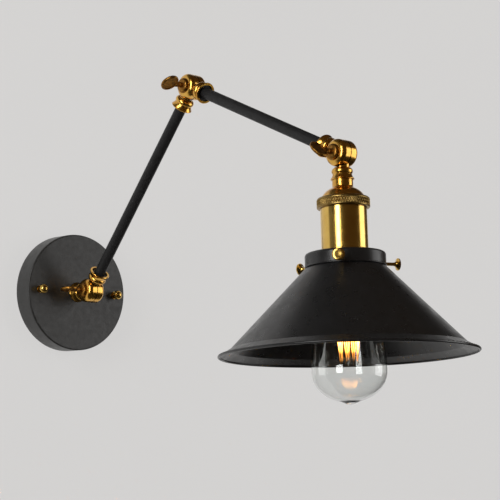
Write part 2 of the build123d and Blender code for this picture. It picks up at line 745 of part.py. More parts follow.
# ---- the lamp --------------------------------------------------------------------------------
def build_lamp():
    """Every sub-part in its place, by name."""
    ring = make_collar_ring()
    screw = make_clamp_screw()
    washer = make_friction_washer()
    wall_end = ring_end + canopy_sheet + wall_washer_thickness + wall_nut_height + nipple_overrun
    head_end = ring_end + cap_roof + nut_height + nipple_overrun
    parts = {
        "canopy": make_canopy(),
        "crossbar": make_crossbar(),
        "canopy_studs": make_studs(),
        "ball_nuts": make_ball_nuts(),
        "earth_screw": make_earth_screw(),
        "wall_knuckle": INTO_WALL * make_knuckle(-1, False),
        "wall_collar_ring": INTO_WALL * ring,
        "wall_nipple": INTO_WALL * make_nipple(wall_end),
        "wall_washer": INTO_WALL * make_wall_washer(),
        "wall_lock_nut": INTO_WALL * make_wall_nut(),
        "lower_arm_knuckle": LOWER * make_knuckle(1, True),
        "lower_arm_ring": LOWER * ring,
        "lower_arm_tube": LOWER * make_arm_tube(lower_arm_length),
        "elbow_inner_ring": LOWER_BACK * ring,
        "elbow_inner_knuckle": LOWER_BACK * make_knuckle(-1, False),
        "wall_friction_washer": LOWER * washer,
        "elbow_outer_knuckle": UPPER * make_knuckle(1, True),
        "elbow_outer_ring": UPPER * ring,
        "upper_arm_tube": UPPER * make_arm_tube(upper_arm_length),
        "upper_arm_ring": UPPER_BACK * ring,
        "upper_arm_knuckle": UPPER_BACK * make_knuckle(-1, False),
        "elbow_friction_washer": UPPER * washer,
        "head_knuckle": HEAD * make_knuckle(1, True),
        "head_ring": HEAD * ring,
        "head_friction_washer": HEAD * washer,
        "head_nipple": HEAD * make_nipple(head_end),
        "cap_lock_nut": HEAD * make_cap_nut(),
        "socket_cap": HEAD * make_socket_cap(),
        "knurled_ring": HEAD * make_knurled_ring(),
        "socket_shell": HEAD * make_socket_shell(),
        "holder_plate": HEAD * make_holder_plate(),
        "porcelain_insert": HEAD * make_insert(),
        "contact_shell": HEAD * make_contact_shell(),
        "centre_contact": HEAD * make_contact_plate(),
        "shade_ring": HEAD * make_shade_ring(),
        "shade_fitter": HEAD * make_fitter(),
        "shade": HEAD * make_shade(),
        "bulb_glass": HEAD * make_bulb_glass(),
        "bulb_cap": HEAD * make_bulb_cap(),
        "bulb_insulator": HEAD * make_bulb_base(),
        "bulb_button": HEAD * make_bulb_button(),
        "bulb_stem": HEAD * make_bulb_stem(),
        "bulb_filament": HEAD * make_filament(),
        "filament_hooks": [HEAD * hook for hook in make_filament_hooks()],
        "wall_clamp_screw": screw_frame(WALL_PIVOT, wall_paddle_turn) * screw,
        "elbow_clamp_screw": screw_frame(ELBOW_PIVOT, elbow_paddle_turn) * screw,
        "head_clamp_screw": screw_frame(HEAD_PIVOT, head_paddle_turn) * screw,
    }
    for index, place in enumerate(fitter_screw_places(), start=1):
        parts[f"shade_screw_{index}"] = HEAD * place * make_fitter_screw()
    return parts


def export_parts(parts):
    """Write one STEP file per sub-part."""
    os.makedirs("parts", exist_ok=True)
    for name, shape in parts.items():
        solids = shape if isinstance(shape, list) else shape.solids()
        whole = Compound(children=list(solids)) if len(solids) > 1 else solids[0]
        export_step(whole, f"parts/{name}.step")
        print(f"{name}: {len(solids)} solid(s), {sum(solid.volume for solid in solids):.1f} mm3")


if __name__ == "__main__":
    export_parts(build_lamp())
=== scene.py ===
"""Looks of a swinging wall lamp: black canopy, arms and cone shade, antique brass joints and socket."""

import json
import logging
import math
from dataclasses import dataclass, field
from enum import Enum
from typing import Callable, Sequence

import bmesh
import bpy
from mathutils import Euler, Matrix, Vector
from mathutils.geometry import interpolate_bezier


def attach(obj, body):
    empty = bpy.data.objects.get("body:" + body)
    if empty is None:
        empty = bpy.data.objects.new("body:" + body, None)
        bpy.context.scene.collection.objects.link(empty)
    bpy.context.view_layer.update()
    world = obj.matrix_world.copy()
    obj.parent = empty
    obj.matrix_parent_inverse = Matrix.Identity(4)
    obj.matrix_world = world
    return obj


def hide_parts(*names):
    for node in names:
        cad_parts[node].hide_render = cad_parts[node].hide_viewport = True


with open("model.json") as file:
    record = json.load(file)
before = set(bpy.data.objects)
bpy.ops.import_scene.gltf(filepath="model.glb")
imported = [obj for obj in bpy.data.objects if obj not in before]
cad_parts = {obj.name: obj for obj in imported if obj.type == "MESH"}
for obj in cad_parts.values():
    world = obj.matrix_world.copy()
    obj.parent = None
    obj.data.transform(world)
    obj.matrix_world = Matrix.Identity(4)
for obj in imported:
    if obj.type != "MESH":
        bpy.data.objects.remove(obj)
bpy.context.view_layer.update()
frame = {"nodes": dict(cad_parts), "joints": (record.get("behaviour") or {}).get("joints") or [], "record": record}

LOG = logging.getLogger("wall_lamp")
MM = 0.001
Point = tuple[float, float]

# Colour sockets of a Mix node, by number, because its value and vector sockets have the same names.
COLOUR_A, COLOUR_B, MIXED_COLOUR = 6, 7, 2
# Bezier handle of a quarter circle, as a share of its radius.
CIRCLE_HANDLE = 0.5523
# How near to an outermost vertex, in millimetres, another counts as outermost too.
SKIN_MM = 0.01


# ---- small helpers ---------------------------------------------------------------------------
def linear(hex_code: str) -> tuple[float, float, float, float]:
    """Turns an sRGB hex colour into linear RGBA.

    Args:
        hex_code: six hex digits, with or without a leading hash.

    Returns:
        Linear red, green, blue and an alpha of 1.
    """
    digits = hex_code.lstrip("#")
    channels = [int(digits[i:i + 2], 16) / 255 for i in (0, 2, 4)]
    red, green, blue = [c / 12.92 if c <= 0.04045 else ((c + 0.055) / 1.055) ** 2.4 for c in channels]
    return red, green, blue, 1.0


def add_node(tree: bpy.types.NodeTree, kind: str, settings: dict | None = None,
             links: dict | None = None) -> bpy.types.Node:
    """Adds a node, sets its properties and input values, and links its inputs.

    Args:
        tree: node tree that gets the node.
        kind: Blender's name for the node type.
        settings: property or input name (or input number) to value.
        links: input name (or input number) to the output socket that feeds it.

    Returns:
        The new node.
    """
    node = tree.nodes.new(kind)
    for name, value in (settings or {}).items():
        if isinstance(name, str) and hasattr(node, name):
            setattr(node, name, value)
        else:
            node.inputs[name].default_value = value
    for name, socket in (links or {}).items():
        tree.links.new(socket, node.inputs[name])
    return node


def per_metre(size_mm: float) -> float:
    """Texture scale in object coordinates for a feature of the given size in millimetres."""
    return 1.0 / (size_mm * MM)


# ---- finishes --------------------------------------------------------------------------------
@dataclass(frozen=True)
class Finish:
    """A surface finish: base of every procedural material on the lamp."""

    name: str
    colour: str
    fleck: str
    roughness: float
    fleck_mm: float = 6.0
    grain_mm: float = 0.8
    grain_height_mm: float = 0.01
    roughness_spread: float = 0.06
    metallic: float = 0.0
    coat: float = 0.0
    coat_roughness: float = 0.12
    specular: float = 0.5
    stretch: tuple[float, float, float] = (1.0, 1.0, 1.0)

    def material(self) -> bpy.types.Material:
        """Builds the node material.

        Returns:
            A material with mottled colour, uneven gloss and a fine bumped grain.
        """
        made = bpy.data.materials.new(self.name)
        made.use_nodes = True
        tree = made.node_tree
        tree.nodes.clear()
        output = add_node(tree, "ShaderNodeOutputMaterial")
        where = add_node(tree, "ShaderNodeTexCoord").outputs["Object"]
        drawn = add_node(tree, "ShaderNodeMapping", {"Scale": self.stretch}, {"Vector": where}).outputs[0]
        shader = add_node(tree, "ShaderNodeBsdfPrincipled", {
            "Metallic": self.metallic, "Coat Weight": self.coat, "Coat Roughness": self.coat_roughness,
            "Specular IOR Level": self.specular})
        tree.links.new(self.colour_socket(tree, where), shader.inputs["Base Color"])
        tree.links.new(self.roughness_socket(tree, drawn), shader.inputs["Roughness"])
        tree.links.new(self.normal_socket(tree, drawn), shader.inputs["Normal"])
        tree.links.new(shader.outputs[0], output.inputs["Surface"])
        self.adjust(tree, shader, output)
        made.diffuse_color = linear(self.colour)
        return made

    def colour_socket(self, tree: bpy.types.NodeTree, where: bpy.types.NodeSocket) -> bpy.types.NodeSocket:
        """Mottled base colour between the finish's two tones."""
        mottle = add_node(tree, "ShaderNodeTexNoise", {
            "Scale": per_metre(self.fleck_mm), "Detail": 5.0, "Roughness": 0.6}, {"Vector": where})
        spread = add_node(tree, "ShaderNodeMapRange", {"From Min": 0.35, "From Max": 0.7},
                          {"Value": mottle.outputs["Fac"]})
        tones = {"data_type": "RGBA", COLOUR_A: linear(self.colour), COLOUR_B: linear(self.fleck)}
        return add_node(tree, "ShaderNodeMix", tones, {"Factor": spread.outputs[0]}).outputs[MIXED_COLOUR]

    def roughness_socket(self, tree: bpy.types.NodeTree, where: bpy.types.NodeSocket) -> bpy.types.NodeSocket:
        """Gloss that varies a little over the surface."""
        smear = add_node(tree, "ShaderNodeTexNoise", {
            "Scale": per_metre(self.fleck_mm * 0.6), "Detail": 4.0}, {"Vector": where})
        low = max(self.roughness - self.roughness_spread, 0.02)
        high = self.roughness + self.roughness_spread
        span = {"From Min": 0.3, "From Max": 0.7, "To Min": low, "To Max": high}
        return add_node(tree, "ShaderNodeMapRange", span, {"Value": smear.outputs["Fac"]}).outputs[0]

    def normal_socket(self, tree: bpy.types.NodeTree, where: bpy.types.NodeSocket) -> bpy.types.NodeSocket:
        """Fine grain as a bump in real millimetres."""
        grain = add_node(tree, "ShaderNodeTexNoise", {
            "Scale": per_metre(self.grain_mm), "Detail": 2.0}, {"Vector": where})
        bump = add_node(tree, "ShaderNodeBump", {"Strength": 1.0, "Distance": self.grain_height_mm * MM},
                        {"Height": grain.outputs["Fac"]})
        return bump.outputs[0]

    def adjust(self, tree: bpy.types.NodeTree, shader: bpy.types.Node, output: bpy.types.Node) -> None:
        """Hook for what a kind of finish adds; a plain finish adds nothing."""


@dataclass(frozen=True)
class AntiqueBrass(Finish):
    """Brass whose brown ageing stays in the hollows and is rubbed off everywhere else."""

    ageing: str = "#4A2608"
    hollow_mm: float = 2.5

    def colour_socket(self, tree: bpy.types.NodeTree, where: bpy.types.NodeSocket) -> bpy.types.NodeSocket:
        """Rubbed brass, turning brown where the surface is closed in."""
        rubbed = super().colour_socket(tree, where)
        reach = {"samples": 8, "Distance": self.hollow_mm * MM}
        open_sky = add_node(tree, "ShaderNodeAmbientOcclusion", reach)
        bare = add_node(tree, "ShaderNodeMapRange", {"From Min": 0.35, "From Max": 0.85},
                        {"Value": open_sky.outputs["AO"]})
        tones = {"data_type": "RGBA", COLOUR_A: linear(self.ageing)}
        links = {"Factor": bare.outputs[0], COLOUR_B: rubbed}
        return add_node(tree, "ShaderNodeMix", tones, links).outputs[MIXED_COLOUR]


@dataclass(frozen=True)
class ClearGlass(Finish):
    """Blown soda-lime glass: clear, with faint waves from blowing."""

    ior: float = 1.58

    def adjust(self, tree: bpy.types.NodeTree, shader: bpy.types.Node, output: bpy.types.Node) -> None:
        """Makes the shader transmit light."""
        shader.inputs["Transmission Weight"].default_value = 1.0
        shader.inputs["IOR"].default_value = self.ior


@dataclass(frozen=True)
class GlowingWire(Finish):
    """Wire that glows, brightest at its upper end: a filament by its own light, a support wire by a painted glow.
    """

    glow: str = "#FFB24C"
    strength: float = 34.0
    cool_share: float = 0.03
    hot_height: float = -0.062
    cool_height: float = -0.078

    def adjust(self, tree: bpy.types.NodeTree, shader: bpy.types.Node, output: bpy.types.Node) -> None:
        """Adds the wire's emission, fading towards the lower loops; on a wire that is no lamp it is a painted
        glow.
        """
        shader.inputs["Emission Color"].default_value = linear(self.glow)
        where = add_node(tree, "ShaderNodeTexCoord").outputs["Object"]
        height = add_node(tree, "ShaderNodeSeparateXYZ", {}, {0: where}).outputs["Z"]
        span = {"From Min": self.cool_height, "From Max": self.hot_height,
                "To Min": self.strength * self.cool_share, "To Max": self.strength}
        light = add_node(tree, "ShaderNodeMapRange", span, {"Value": height}).outputs[0]
        tree.links.new(light, shader.inputs["Emission Strength"])


class Coating(Enum):
    """Every finish on the lamp, by the record's material slot.

    Polishing and lathe marks, zinc crystals, paper fibres and drawing lines are really finer than
    0.1 mm. They are drawn at 0.2 to 0.5 mm, as coarse as they need to be to show.
    """

    # Epoxy powder coat, baked: a fine orange-peel skin with a dull sheen.
    BLACK_METAL = Finish("powder_coated_canopy", "#333332", "#2C2C2B", 0.4, fleck_mm=9.0,
                         grain_mm=0.7, grain_height_mm=0.01)
    # Sprayed matt enamel on spun steel: soft broad highlights, slightly uneven film.
    BLACK_SHADE = Finish("matt_enamel_spun_steel", "#212122", "#1D1D1D", 0.31, fleck_mm=14.0,
                         grain_mm=0.9, grain_height_mm=0.006)
    # Satin stove enamel on tube: narrow streak highlights along the arm.
    BLACK_TUBE = Finish("satin_enamel_tube", "#29292A", "#232323", 0.42, fleck_mm=7.0,
                        grain_mm=0.6, grain_height_mm=0.006, specular=0.2)
    # Cast brass, turned, antiqued and lacquered: golden with amber patches, brown in its hollows.
    # Its polishing marks are drawn coarser than they are.
    AGED_BRASS = AntiqueBrass("antique_cast_brass", "#EDB950", "#DA9D3B", 0.22, fleck_mm=6.0,
                              grain_mm=0.4, grain_height_mm=0.002, metallic=1.0, roughness_spread=0.03,
                              coat=0.5)
    # The socket's drawn shell: the same brass, paler and smoother. Its lathe lines are drawn coarser
    # than they are.
    DRAWN_BRASS = AntiqueBrass("antique_drawn_brass", "#F0C867", "#E3B654", 0.19, fleck_mm=12.0,
                              grain_mm=0.25, grain_height_mm=0.0012, metallic=1.0, roughness_spread=0.03,
                              coat=0.6, stretch=(0.2, 0.2, 1.0))
    # The same brass where it is knurled, painted darker and duller for the shade in its fine grooves; the grooves
    # also hold the brown ageing.
    KNURLED_BRASS = AntiqueBrass("antique_knurled_brass_painted_shade", "#A88B50", "#8A6F3C", 0.36, fleck_mm=4.0,
                                 grain_mm=0.3, grain_height_mm=0.003, metallic=1.0, hollow_mm=0.5)
    # Brass, machined bright and lightly lacquered.
    BRASS = Finish("turned_lacquered_brass", "#E8C268", "#CFA250", 0.18, fleck_mm=3.0,
                   grain_mm=0.3, grain_height_mm=0.002, metallic=1.0)
    # Thin pressed brass of the bulb's cap.
    BULB_BRASS = Finish("pressed_bulb_brass", "#D8B566", "#B8924A", 0.28, fleck_mm=4.0,
                        grain_mm=0.5, grain_height_mm=0.006, metallic=1.0)
    # Chemically bronzed brass, dark brown with brass showing through where fingers rub it.
    DARK_BRONZE = Finish("bronzed_brass", "#B9853A", "#6A481F", 0.4, fleck_mm=2.5,
                         grain_mm=0.3, grain_height_mm=0.006, metallic=1.0)
    # Zinc-plated mild steel: cool grey with a faint crystalline mottle.
    ZINC_STEEL = Finish("zinc_plated_steel", "#B4B6B4", "#9FA3A6", 0.34, fleck_mm=2.0,
                        grain_mm=0.4, grain_height_mm=0.006, metallic=1.0)
    # Vulcanised fibre: dull red-brown pressed paper.
    FIBRE = Finish("vulcanised_fibre", "#6B4A35", "#5A3C2A", 0.7, fleck_mm=1.5,
                   grain_mm=0.2, grain_height_mm=0.02)
    # Glazed electrical porcelain: white, wet-looking, with rare pinholes.
    PORCELAIN = Finish("glazed_porcelain", "#ECE8DE", "#E2DCCF", 0.12, fleck_mm=8.0,
                       grain_mm=1.6, grain_height_mm=0.006, coat=0.6)
    # Blown glass envelope, clear, with slow waves.
    CLEAR_GLASS = ClearGlass("blown_clear_glass", "#FBFCFB", "#F6F8F7", 0.0, fleck_mm=30.0,
                             grain_mm=14.0, grain_height_mm=0.02, roughness_spread=0.0)
    # Black vitrified glass insulator under the bulb's cap.
    BLACK_GLASS = Finish("vitrified_black_glass", "#101014", "#17171C", 0.1, fleck_mm=3.0,
                         grain_mm=0.6, grain_height_mm=0.004)
    # Squirrel-cage filament, lit.
    FILAMENT = GlowingWire("lit_carbon_filament", "#FFB25A", "#FF9A3C", 0.6, fleck_mm=2.0,
                       grain_mm=0.3, grain_height_mm=0.004)
    # Drawn molybdenum hooks, dull grey, with a faint painted orange glow from the filament, fading downwards.
    FILAMENT_WIRE = GlowingWire("support_wire_painted_glow", "#8D8A84", "#7A776F", 0.4, fleck_mm=1.0,
                            grain_mm=0.2, grain_height_mm=0.002, metallic=1.0, glow="#FF7A1E", strength=0.6)


# Nodes whose finish differs from that of the rest of their slot.
NODE_COATINGS = {"socket_shell": Coating.DRAWN_BRASS, "knurled_ring": Coating.KNURLED_BRASS}


class Wardrobe:
    """Builds each coating's material once and puts it on nodes and pieces."""

    def __init__(self) -> None:
        """Starts with no materials built."""
        self.built: dict[Coating, bpy.types.Material] = {}

    def material(self, coating: Coating) -> bpy.types.Material:
        """The coating's material, built on first use."""
        if coating not in self.built:
            self.built[coating] = coating.value.material()
        return self.built[coating]

    def dress(self, thing: bpy.types.Object, coating: Coating) -> None:
        """Replaces every material on an object by the coating's."""
        thing.data.materials.clear()
        thing.data.materials.append(self.material(coating))

    def dress_nodes(self) -> None:
        """Dresses each CAD node with the coating that the record's slot names."""
        slots = {row["node"]: row["material_slot"] for row in frame["record"]["subparts"]}
        for node, thing in frame["nodes"].items():
            coating = NODE_COATINGS.get(node, Coating[slots[node].upper()])
            self.dress(thing, coating)
            LOG.info("dressed %s as %s", node, coating.value.name)


# ---- turned pieces ---------------------------------------------------------------------------
class Outline:
    """Half section of a turned piece, as radius and height in millimetres."""

    def __init__(self, radius: float, height: float) -> None:
        """Starts the outline at one corner."""
        self.points: list[Point] = [(radius, height)]

    def to(self, radius: float, height: float) -> "Outline":
        """Adds a straight line to the next corner."""
        self.points.append((radius, height))
        return self

    def curve(self, lead: Point, follow: Point, end: Point, pieces: int = 10) -> "Outline":
        """Adds a Bezier curve.

        Args:
            lead: handle after the last point.
            follow: handle before the end.
            end: where the curve ends.
            pieces: straight pieces that stand for the curve.

        Returns:
            The outline itself, to add the next stretch.
        """
        knots = [Vector((*point, 0)) for point in (self.points[-1], lead, follow, end)]
        self.points += [(p.x, p.y) for p in interpolate_bezier(*knots, pieces + 1)[1:]]
        return self


def spin_outline(outline: Outline, steps: int, closed: bool) -> bmesh.types.BMesh:
    """Spins an outline once round Z.

    Args:
        outline: half section of the piece.
        steps: faces round the circle.
        closed: True joins the outline's last corner to its first.

    Returns:
        A closed bmesh in metres, its faces pointing outwards.
    """
    mesh = bmesh.new()
    corners = [mesh.verts.new((radius * MM, 0.0, height * MM)) for radius, height in outline.points]
    pairs = list(zip(corners, corners[1:]))
    if closed:
        pairs.append((corners[-1], corners[0]))
    edges = [mesh.edges.new(pair) for pair in pairs]
    bmesh.ops.spin(mesh, geom=corners + edges, cent=(0, 0, 0), axis=(0, 0, 1),
                   angle=math.tau, steps=steps, use_merge=True)
    bmesh.ops.remove_doubles(mesh, verts=mesh.verts, dist=1e-6)
    bmesh.ops.recalc_face_normals(mesh, faces=mesh.faces)
    return mesh


def settle(mesh: bmesh.types.BMesh, name: str, place: Matrix, body: str,
           replaced: Sequence[str] = (), crease_degrees: float = 30.0) -> bpy.types.Object:
    """Turns a bmesh into a finished piece of the lamp.

    Args:
        mesh: geometry in its own frame, in metres.
        name: piece name.
        place: frame that the geometry is moved into.
        body: body that the piece moves with.
        replaced: CAD nodes that the piece stands for.
        crease_degrees: edges sharper than this stay crisp.

    Returns:
        The new object, at the origin.
    """
    bmesh.ops.transform(mesh, matrix=place, verts=mesh.verts)
    for face in mesh.faces:
        face.smooth = True
    limit = math.radians(crease_degrees)
    for edge in mesh.edges:
        edge.smooth = len(edge.link_faces) == 2 and edge.calc_face_angle() < limit
    data = bpy.data.meshes.new(name)
    mesh.to_mesh(data)
    mesh.free()
    piece = bpy.data.objects.new(name, data)
    bpy.context.scene.collection.objects.link(piece)
    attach(piece, body)
    if replaced:
        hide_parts(*replaced)
    LOG.info("built %s with %d faces", name, len(data.polygons))
    return piece


def outermost(mesh: bmesh.types.BMesh, radius_mm: float) -> list[bmesh.types.BMVert]:
    """Vertices that lie on the cylinder of the given radius round Z, or outside it."""
    return [v for v in mesh.verts if math.hypot(v.co.x, v.co.y) > (radius_mm - SKIN_MM) * MM]


def joint(name: str) -> dict:
    """The frame's joint of the given name."""
    return next(row for row in frame["joints"] if row["name"] == name)


def head_place() -> Matrix:
    """Frame at the head's pivot: Z down the lamp's axis, X along the joint axis.

    Returns:
        The head's frame at rest, in metres.
    """
    axis_x = Vector((1, 0, 0))
    axis_z = Vector(joint("bulb_unscrew")["axis"]).normalized()
    axis_y = axis_z.cross(axis_x)
    turn = Matrix((axis_x, axis_y, axis_z)).transposed().to_4x4()
    return Matrix.Translation(joint("head_tilt")["pos_m"]) @ turn


def carve(mesh: bmesh.types.BMesh, verts: Sequence[bmesh.types.BMVert],
          depth: Callable[[float, float], float]) -> None:
    """Pushes vertices towards the Z axis.

    Args:
        mesh: geometry in its own frame.
        verts: vertices to move.
        depth: metres to push in, from a vertex's angle and height.
    """
    for vert in verts:
        radius = math.hypot(vert.co.x, vert.co.y)
        cut = depth(math.atan2(vert.co.y, vert.co.x), vert.co.z)
        vert.co.xy *= (radius - cut) / radius
    mesh.normal_update()


def triangle_wave(turns: float) -> float:
    """Distance from the nearest whole number, from 0 to 0.5."""
    return abs(turns - round(turns))


# ---- sub-assemblies --------------------------------------------------------------------------
@dataclass
class CouplingRing:
    """Knurled ring that draws the socket shell up to its cap. Sizes in millimetres."""

    top: float = 39.2
    end: float = 48.1
    radius: float = 22.85
    crown: float = 2.2
    bore: float = 19.14
    shell_radius: float = 20.12
    shell_top: float = 41.6
    band_top: float = 41.3
    band_end: float = 46.8
    knurls: int = 60
    knurl_depth: float = 0.6
    knurl_slope: float = 1.6
    knurl_run_in: float = 8.0
    crown_bend: float = 0.45
    crown_pieces: int = 8
    chamfer: float = 0.5
    steps: int = 720
    rows: int = 36
    crease_degrees: float = 50.0

    def outline(self) -> Outline:
        """Half section with a fine-stepped band for the knurl."""
        line = Outline(self.bore, self.top).to(self.radius - self.crown, self.top)
        bend = self.crown_bend * self.crown
        line.curve((self.radius - bend, self.top), (self.radius, self.band_top - self.crown + bend),
                   (self.radius, self.band_top), self.crown_pieces)
        for row in range(1, self.rows + 1):
            line.to(self.radius, self.band_top + (self.band_end - self.band_top) * row / self.rows)
        line.to(self.radius, self.end - self.chamfer).to(self.radius - self.chamfer, self.end)
        line.to(self.shell_radius, self.end).to(self.shell_radius, self.shell_top)
        return line.to(self.bore, self.shell_top)

    def knurl(self, angle: float, height: float) -> float:
        """Depth of the crossed grooves at an angle and height, in metres."""
        pitch = math.tau * self.radius / self.knurls * MM
        around = angle / math.tau * self.knurls
        along = (height - self.band_top * MM) / pitch
        left = triangle_wave(around + along / 2)
        right = triangle_wave(around - along / 2)
        ridge = min(left, right) * 2
        span = (self.band_end - self.band_top) * MM
        inside = min(height - self.band_top * MM, self.band_end * MM - height)
        edge = min(1.0, self.knurl_run_in * inside / span)
        return self.knurl_depth * MM * (1 - min(1.0, self.knurl_slope * ridge)) * max(0.0, edge)

    def build(self, wardrobe: Wardrobe) -> bpy.types.Object:
        """Builds the ring with its knurl cut in."""
        mesh = spin_outline(self.outline(), self.steps, closed=True)
        band = [v for v in outermost(mesh, self.radius)
                if self.band_top * MM < v.co.z < self.band_end * MM]
        carve(mesh, band, self.knurl)
        ring = settle(mesh, "coupling_ring_knurled", head_place(), "head",
                      ["knurled_ring"], self.crease_degrees)
        # Knurled band: brass painted darker for the shade in its grooves.
        wardrobe.dress(ring, Coating.KNURLED_BRASS)
        return ring


@dataclass
class Bulb:
    """Clear filament bulb. Sizes in millimetres from the head's pivot."""

    cap_start: float = 78.2
    cap_end: float = 100.2
    cap_radius: float = 13.1
    cap_sheet: float = 0.6
    thread_pitch: float = 3.6
    thread_depth: float = 0.9
    thread_start: float = 81.5
    thread_end: float = 97.5
    thread_run_in: float = 1.5
    cap_round: float = 2.0
    cap_bend: float = 0.9
    cap_rows: int = 60
    cap_steps: int = 96
    cap_crease_degrees: float = 50.0
    throat: Point = (14.6, 108.0)
    throat_before: Point = (1.1, 2.5)
    throat_after: Point = (11.2, 25.6)
    neck_handle: float = 2.7
    belly: Point = (32.0, 188.0)
    belly_handle: float = 28.0
    tip: float = 213.6
    nub_radius: float = 6.5
    nub_height: float = 2.2
    nub_before: Point = (1.4, 0.5)
    nub_after: float = 2.2
    glass: float = 0.9
    glass_start: float = 98.7
    glass_crease_degrees: float = 60.0
    steps: int = 128

    def wall(self, inset: float, nub: bool) -> Outline:
        """Section of the glass from its neck to the tip.

        Args:
            inset: distance inwards from the outer surface.
            nub: True adds the small sealed tip.

        Returns:
            The section as an open outline.
        """
        neck = self.cap_radius - self.cap_sheet - inset
        line = Outline(neck, self.glass_start).to(neck, self.cap_end)
        throat = (self.throat[0] - inset, self.throat[1])
        line.curve((neck, self.cap_end + self.neck_handle),
                   (throat[0] - self.throat_before[0], throat[1] - self.throat_before[1]), throat, 8)
        belly = (self.belly[0] - inset, self.belly[1])
        line.curve((throat[0] + self.throat_after[0], throat[1] + self.throat_after[1]),
                   (belly[0], belly[1] - self.belly_handle), belly, 40)
        tip = self.tip - inset
        rise = CIRCLE_HANDLE * (tip - belly[1])
        line.curve((belly[0], belly[1] + rise), (CIRCLE_HANDLE * belly[0], tip), (0.0, tip), 32)
        if nub:
            line.points = [p for p in line.points if p[1] < self.belly[1] or p[0] > self.nub_radius]
            low = line.points[-1]
            peak = self.tip + self.nub_height
            line.curve((low[0] - self.nub_before[0], low[1] + self.nub_before[1]),
                       (self.nub_after, peak), (0.0, peak), 12)
        return line

    def build_glass(self, wardrobe: Wardrobe) -> bpy.types.Object:
        """Envelope with a real wall, so that light bends through it twice."""
        line = self.wall(0.0, nub=True)
        line.points += reversed(self.wall(self.glass, nub=False).points)
        mesh = spin_outline(line, self.steps, closed=True)
        glass = settle(mesh, "bulb_envelope", head_place(), "bulb", ["bulb_glass"],
                       self.glass_crease_degrees)
        wardrobe.dress(glass, Coating.CLEAR_GLASS)
        return glass

    def thread(self, angle: float, height: float) -> float:
        """Depth of the rolled thread at an angle and height, in metres."""
        mm = height / MM
        if not self.thread_start < mm < self.thread_end:
            return 0.0
        turns = (mm - self.thread_start) / self.thread_pitch - angle / math.tau
        run_in = self.thread_run_in
        fade = min(1.0, (mm - self.thread_start) / run_in, (self.thread_end - mm) / run_in)
        return self.thread_depth * MM * fade * (0.5 - 0.5 * math.cos(math.tau * turns))

    def build_cap(self, wardrobe: Wardrobe) -> bpy.types.Object:
        """Pressed cap with its rolled thread."""
        start, radius, rows = self.cap_start, self.cap_radius, self.cap_rows
        line = Outline(0.0, start).to(radius - self.cap_round, start)
        line.curve((radius - self.cap_bend, start), (radius, start + self.cap_bend),
                   (radius, start + self.cap_round), 6)
        for row in range(1, rows + 1):
            line.to(radius, start + self.cap_round + (self.cap_end - start - self.cap_round) * row / rows)
        inner, floor = radius - self.cap_sheet, start + self.cap_sheet
        line.to(inner, self.cap_end).to(inner, floor).to(0.0, floor)
        mesh = spin_outline(line, self.cap_steps, closed=True)
        carve(mesh, outermost(mesh, radius), self.thread)
        cap = settle(mesh, "bulb_cap_threaded", head_place(), "bulb", ["bulb_cap"],
                     self.cap_crease_degrees)
        wardrobe.dress(cap, Coating.BULB_BRASS)
        return cap


# ---- studio ----------------------------------------------------------------------------------
def bearing_direction(azimuth: float, elevation: float) -> Vector:
    """Unit vector from the lamp towards an azimuth (0 is in front) and elevation, in degrees."""
    turn, rise = math.radians(azimuth), math.radians(elevation)
    return Vector((math.sin(turn) * math.cos(rise), -math.cos(turn) * math.cos(rise), math.sin(rise)))


@dataclass(frozen=True)
class SoftBox:
    """Rectangular studio light, placed round the lamp by its bearing from the camera."""

    name: str
    bearing: float
    elevation: float
    distance: float
    width: float
    height: float
    brightness: float

    def build(self, target: Vector, camera_azimuth: float) -> bpy.types.Object:
        """Adds the light.

        Args:
            target: point that the light faces.
            camera_azimuth: the camera's azimuth in degrees; bearings count from it, to the right.

        Returns:
            The light object.
        """
        out = bearing_direction(camera_azimuth + self.bearing, self.elevation)
        light = bpy.data.lights.new(self.name, "AREA")
        light.shape = "RECTANGLE"
        light.size = self.width
        light.size_y = self.height
        light.energy = self.brightness * math.pi * self.width * self.height
        lamp = bpy.data.objects.new(self.name, light)
        lamp.location = target + out * self.distance
        lamp.rotation_euler = (-out).to_track_quat("-Z", "Y").to_euler()
        lamp.visible_camera = False
        bpy.context.scene.collection.objects.link(lamp)
        return lamp


@dataclass(frozen=True)
class PhotoCamera:
    """The photograph's camera, found from the lamp's round edges and straight arms."""

    aim: tuple[float, float, float] = (0.08110, -0.19952, 0.03612)
    distance: float = 1.55549
    azimuth: float = -41.314
    elevation: float = -7.076
    roll: float = 0.597
    focal_px: float = 1574.7
    image_px: int = 500
    sensor_mm: float = 36.0

    def build(self) -> bpy.types.Object:
        """Adds the camera and makes it the scene's."""
        back = bearing_direction(self.azimuth, self.elevation)
        data = bpy.data.cameras.new("camera")
        data.sensor_width = self.sensor_mm
        data.lens = self.sensor_mm * self.focal_px / self.image_px
        data.clip_start = 0.05
        camera = bpy.data.objects.new("camera", data)
        camera.location = Vector(self.aim) + back * self.distance
        camera.rotation_mode = "QUATERNION"
        level = (-back).to_track_quat("-Z", "Y")
        camera.rotation_quaternion = level @ Euler((0, 0, math.radians(self.roll))).to_quaternion()
        bpy.context.scene.collection.objects.link(camera)
        bpy.context.scene.camera = camera
        return camera


